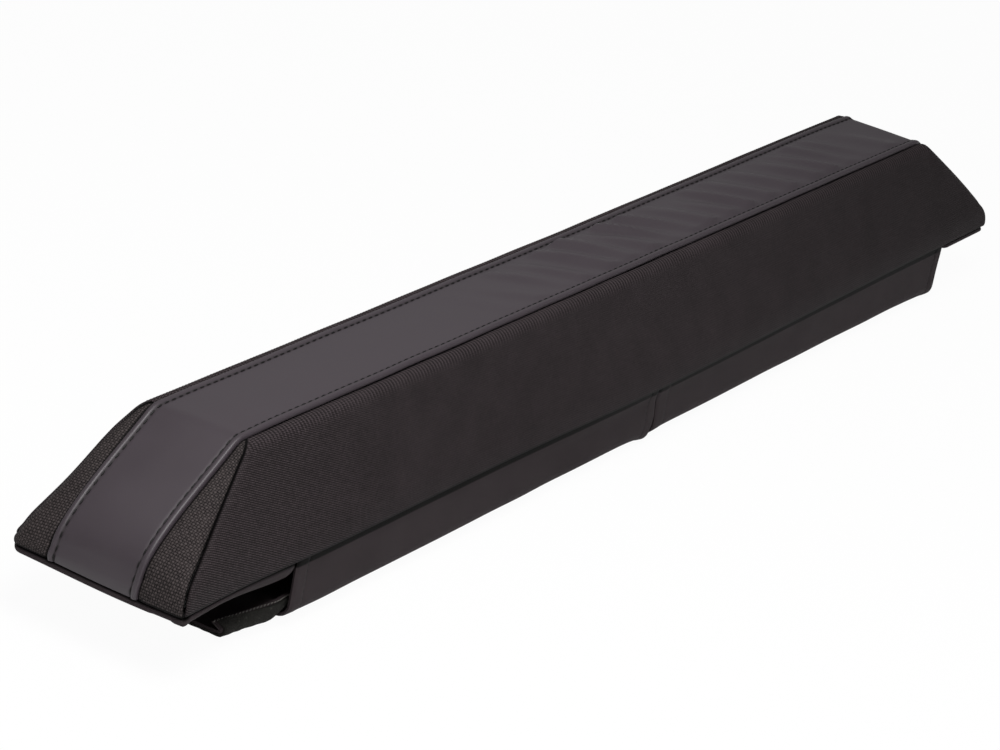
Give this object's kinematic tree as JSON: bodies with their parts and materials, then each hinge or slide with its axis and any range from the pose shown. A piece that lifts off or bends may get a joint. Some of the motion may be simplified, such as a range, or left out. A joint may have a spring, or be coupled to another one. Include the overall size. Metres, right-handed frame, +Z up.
{
  "type": "roof rack pad",
  "caption": "Long foam pad with sloped ends in a sewn cloth cover, with hook-and-loop flaps that wrap a roof rack load bar.",
  "frame": {"origin": "centre of the object's bounding box in X and Y, on the underside of the closed sleeve", "axes": "+X along the pad towards its right end as seen from the near side, -Y towards the near long side, +Z up through the load face"},
  "size_m": [0.762, 0.093, 0.083],
  "materials": {
    "coated_cloth": "smooth satin coated polyester, very dark warm grey",
    "woven_cloth": "near-black basket-weave polyester",
    "flap_cloth": "near-black fine plain-weave polyester",
    "hook_tape": "black woven tape with stiff hooks",
    "loop_tape": "black woven tape with a fuzzy loop pile",
    "foam": "matte closed-cell foam"
  },
  "bodies": {
    "root": {"foam_core": "foam", "top_panel": "coated_cloth", "side_panel_near": "woven_cloth", "side_panel_far": "woven_cloth", "end_gusset_left_near": "woven_cloth", "end_gusset_left_far": "woven_cloth", "end_gusset_right_near": "woven_cloth", "end_gusset_right_far": "woven_cloth", "base_panel": "woven_cloth", "flap_near_left": "flap_cloth", "flap_near_right": "flap_cloth", "flap_far_left": "flap_cloth", "flap_far_right": "flap_cloth", "hook_tape_near_left": "hook_tape", "hook_tape_near_right": "hook_tape", "loop_tape_far_left": "loop_tape", "loop_tape_far_right": "loop_tape"}
  },
  "joints": []
}
